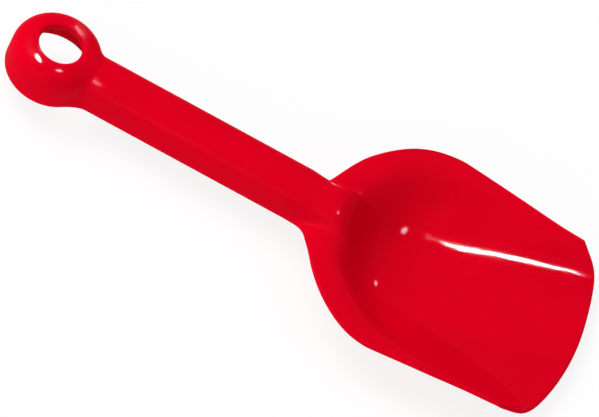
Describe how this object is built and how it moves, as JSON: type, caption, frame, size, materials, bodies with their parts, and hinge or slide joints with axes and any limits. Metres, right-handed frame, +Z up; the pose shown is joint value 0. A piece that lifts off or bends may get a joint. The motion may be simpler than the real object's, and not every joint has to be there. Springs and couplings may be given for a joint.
{
  "type": "sand shovel",
  "caption": "Child's sand shovel: a wide round-backed scoop, a straight channel-section handle and a domed hanging ring, in glossy red plastic.",
  "frame": {"origin": "centre of the shovel's length and width, at its lowest point, the underside of the scoop's floor", "axes": "+X along the handle from the ring towards the cutting edge, +Y across, +Z up out of the scoop, along the hanging hole's axis"},
  "size_m": [0.24, 0.0984, 0.0275],
  "materials": {
    "red_plastic": "glossy injection-moulded polypropylene, one colour throughout"
  },
  "bodies": {
    "root": {"blade": "red_plastic", "handle": "red_plastic", "handle_ribs": "red_plastic", "hang_ring": "red_plastic"}
  },
  "joints": []
}
